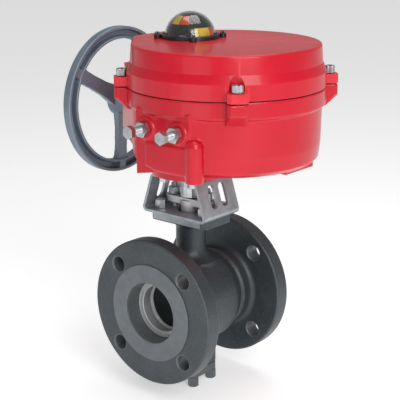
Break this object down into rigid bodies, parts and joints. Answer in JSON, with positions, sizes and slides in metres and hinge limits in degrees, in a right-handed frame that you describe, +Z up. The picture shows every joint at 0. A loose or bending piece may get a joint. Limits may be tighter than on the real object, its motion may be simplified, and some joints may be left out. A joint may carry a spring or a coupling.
{
  "type": "motorized valve actuator",
  "caption": "Electric quarter-turn actuator with handwheel and domed position indicator, bracket-mounted on a flanged V-port segment valve.",
  "frame": {"origin": "where the valve stem axis crosses the pipe axis", "axes": "+Z up along the stem, -Y out of the inlet flange, -X towards the handwheel"},
  "size_m": [0.3145, 0.2705, 0.49],
  "materials": {
    "red_paint": "semi-gloss red paint",
    "cast_steel": "dark cast steel, sand-cast skin with machined faces",
    "bracket_steel": "bare bent steel plate",
    "bright_steel": "bright machined steel",
    "dark_steel": "dark oiled steel",
    "wheel_paint": "blue-grey paint",
    "clear_dome": "clear moulded polycarbonate",
    "black_plastic": "black moulded plastic",
    "bronze": "machined bronze",
    "seal_rubber": "black rubber",
    "seat_polymer": "off-white seat polymer",
    "graphite": "pressed graphite",
    "motor_grey": "grey cast aluminium"
  },
  "bodies": {
    "fixed": {"valve_body": "cast_steel", "lower_cover": "cast_steel", "lower_cover_gasket": "graphite", "packing_rings": "graphite", "lower_cover_bolt_1": "dark_steel", "lower_cover_bolt_2": "dark_steel", "lower_cover_bolt_3": "dark_steel", "lower_cover_bolt_4": "dark_steel", "seat_ring": "seat_polymer", "seat_retainer": "bright_steel", "gland_stud_left": "bright_steel", "gland_stud_right": "bright_steel", "gland_nut_left": "bright_steel", "gland_nut_right": "bright_steel", "bracket_bolt_1": "bright_steel", "bracket_bolt_2": "bright_steel", "bracket_bolt_3": "bright_steel", "bracket_bolt_4": "bright_steel", "actuator_bolt_1": "bright_steel", "actuator_bolt_2": "bright_steel", "actuator_bolt_3": "bright_steel", "actuator_bolt_4": "bright_steel", "gland_follower": "bracket_steel", "mounting_bracket": "bracket_steel", "base_housing": "red_paint", "top_cover": "red_paint", "cover_seal": "seal_rubber", "cover_screw_1": "bright_steel", "cover_screw_2": "bright_steel", "cover_screw_3": "bright_steel", "cover_screw_4": "bright_steel", "stop_bolt_left": "bright_steel", "stop_bolt_right": "bright_steel", "stop_lock_nut_left": "bright_steel", "stop_lock_nut_right": "bright_steel", "conduit_plug_left": "dark_steel", "conduit_plug_right": "dark_steel", "indicator_dome": "clear_dome", "dome_ring": "black_plastic", "limit_switch_block": "black_plastic", "terminal_strip": "black_plastic", "dome_screw_1": "dark_steel", "dome_screw_2": "dark_steel", "dome_screw_3": "dark_steel", "dome_screw_4": "dark_steel", "sleeve_bush": "bronze", "stop_lever_pin": "bright_steel", "drive_motor": "motor_grey"},
    "output_train": {"v_port_segment": "bright_steel", "valve_stem": "bright_steel", "lower_trunnion": "bright_steel", "stem_coupling": "bright_steel", "drive_sleeve": "dark_steel", "worm_wheel": "bronze", "indicator_rotor": "black_plastic"},
    "hand_drive": {"handwheel": "wheel_paint", "handwheel_shaft": "bright_steel", "handwheel_nut": "bright_steel"},
    "worm": {"worm_shaft": "bright_steel"},
    "stop": {"stop_lever": "dark_steel"}
  },
  "joints": [
    {"name": "handwheel_turn", "type": "hinge", "parent": "fixed", "child": "hand_drive", "pos_m": [0, 0, 0.2485], "axis": [1, 0, 0], "range_deg": [-900, 1800]},
    {"name": "valve_turn", "type": "hinge", "parent": "fixed", "child": "output_train", "pos_m": [0, 0, 0], "axis": [0, 0, 1], "range_deg": [-60, 30]},
    {"name": "worm_turn", "type": "hinge", "parent": "fixed", "child": "worm", "pos_m": [0, 0.039, 0.23875], "axis": [1, 0, 0], "range_deg": [-1800, 900]},
    {"name": "stop_lever_turn", "type": "hinge", "parent": "fixed", "child": "stop", "pos_m": [0.057, 0, 0.25], "axis": [0, 0, 1], "range_deg": [-15, 30]}
  ],
  "couplings": [
    {"joint": "valve_turn", "follows": "handwheel_turn", "ratio": -0.033333},
    {"joint": "worm_turn", "follows": "handwheel_turn", "ratio": -1},
    {"joint": "stop_lever_turn", "follows": "handwheel_turn", "ratio": 0.016667}
  ]
}
